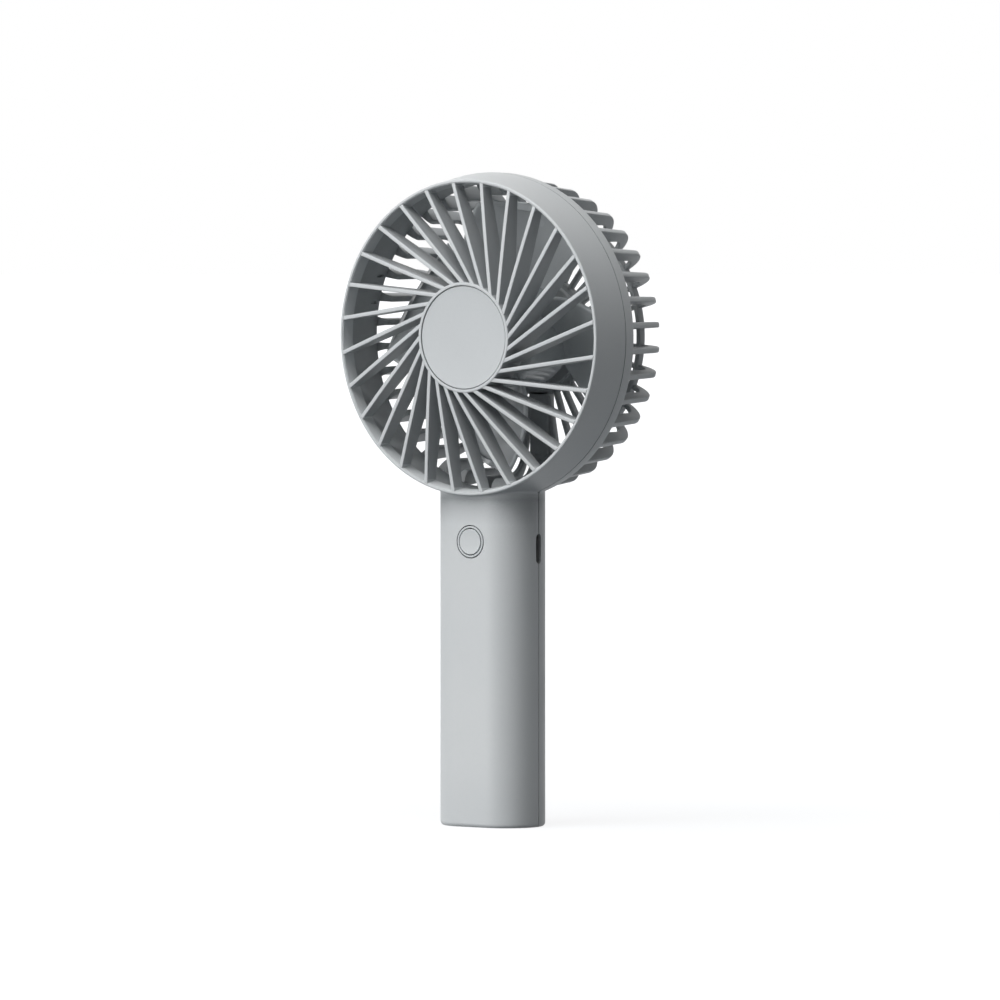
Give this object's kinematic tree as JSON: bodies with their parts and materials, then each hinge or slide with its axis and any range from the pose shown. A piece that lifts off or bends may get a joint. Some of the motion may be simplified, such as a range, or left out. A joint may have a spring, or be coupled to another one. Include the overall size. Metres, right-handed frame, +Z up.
{
  "type": "handheld fan",
  "caption": "Rechargeable handheld fan with a guarded round head on a straight handle, a power button and a USB-C charging slot.",
  "frame": {"origin": "middle of the flat foot of the handle", "axes": "+Z up along the handle to the head, -Y the side that the air leaves from, where the power button is, +X the side of the charging slot"},
  "size_m": [0.1046, 0.045, 0.2083],
  "materials": {
    "shell": "satin",
    "blade": "satin",
    "button": "satin",
    "steel": "plain",
    "nickel": "satin",
    "brass": "plain",
    "black_plastic": "matt",
    "white_plastic": "matt",
    "ferrite": "matt",
    "foam": "foamed",
    "cell": "heat-shrunk sleeve",
    "board": "solder mask",
    "red_wire": "satin",
    "black_wire": "satin"
  },
  "bodies": {
    "housing": {"front_shell": "shell", "rear_shell": "shell", "front_grille": "shell", "hub_inlay": "shell", "rear_cap": "shell", "motor_can": "steel", "motor_magnet_left": "ferrite", "motor_magnet_right": "ferrite", "front_bushing": "brass", "rear_bushing": "brass", "motor_end_cap": "black_plastic", "motor_lead_left": "red_wire", "motor_lead_right": "black_wire", "battery_cell": "cell", "battery_pad_front": "foam", "battery_pad_rear": "foam", "positive_tab": "nickel", "negative_tab": "nickel", "positive_lead": "red_wire", "negative_lead": "black_wire", "circuit_board": "board", "usb_c_socket": "nickel", "usb_c_tongue": "black_plastic", "tact_switch": "black_plastic", "control_chip": "black_plastic", "charger_chip": "black_plastic", "power_inductor": "ferrite", "status_led": "white_plastic", "button_bezel": "shell", "board_screw_top": "steel", "board_screw_bottom": "steel", "shell_screw_left": "steel", "shell_screw_right": "steel", "shell_screw_foot": "steel"},
    "fan_rotor": {"impeller": "blade", "motor_shaft": "steel", "rotor_core": "ferrite", "commutator": "brass"},
    "button": {"power_button": "button", "switch_plunger": "white_plastic"}
  },
  "joints": [
    {"name": "fan_spin", "type": "hinge", "parent": "housing", "child": "fan_rotor", "pos_m": [0, 0, 0.156], "axis": [0, 1, 0], "continuous": true},
    {"name": "button_press", "type": "slide", "parent": "housing", "child": "button", "axis": [0, 1, 0], "range_m": [0, 0.0004], "stiffness_N_per_m": 1200, "springref_m": -0.0004}
  ]
}
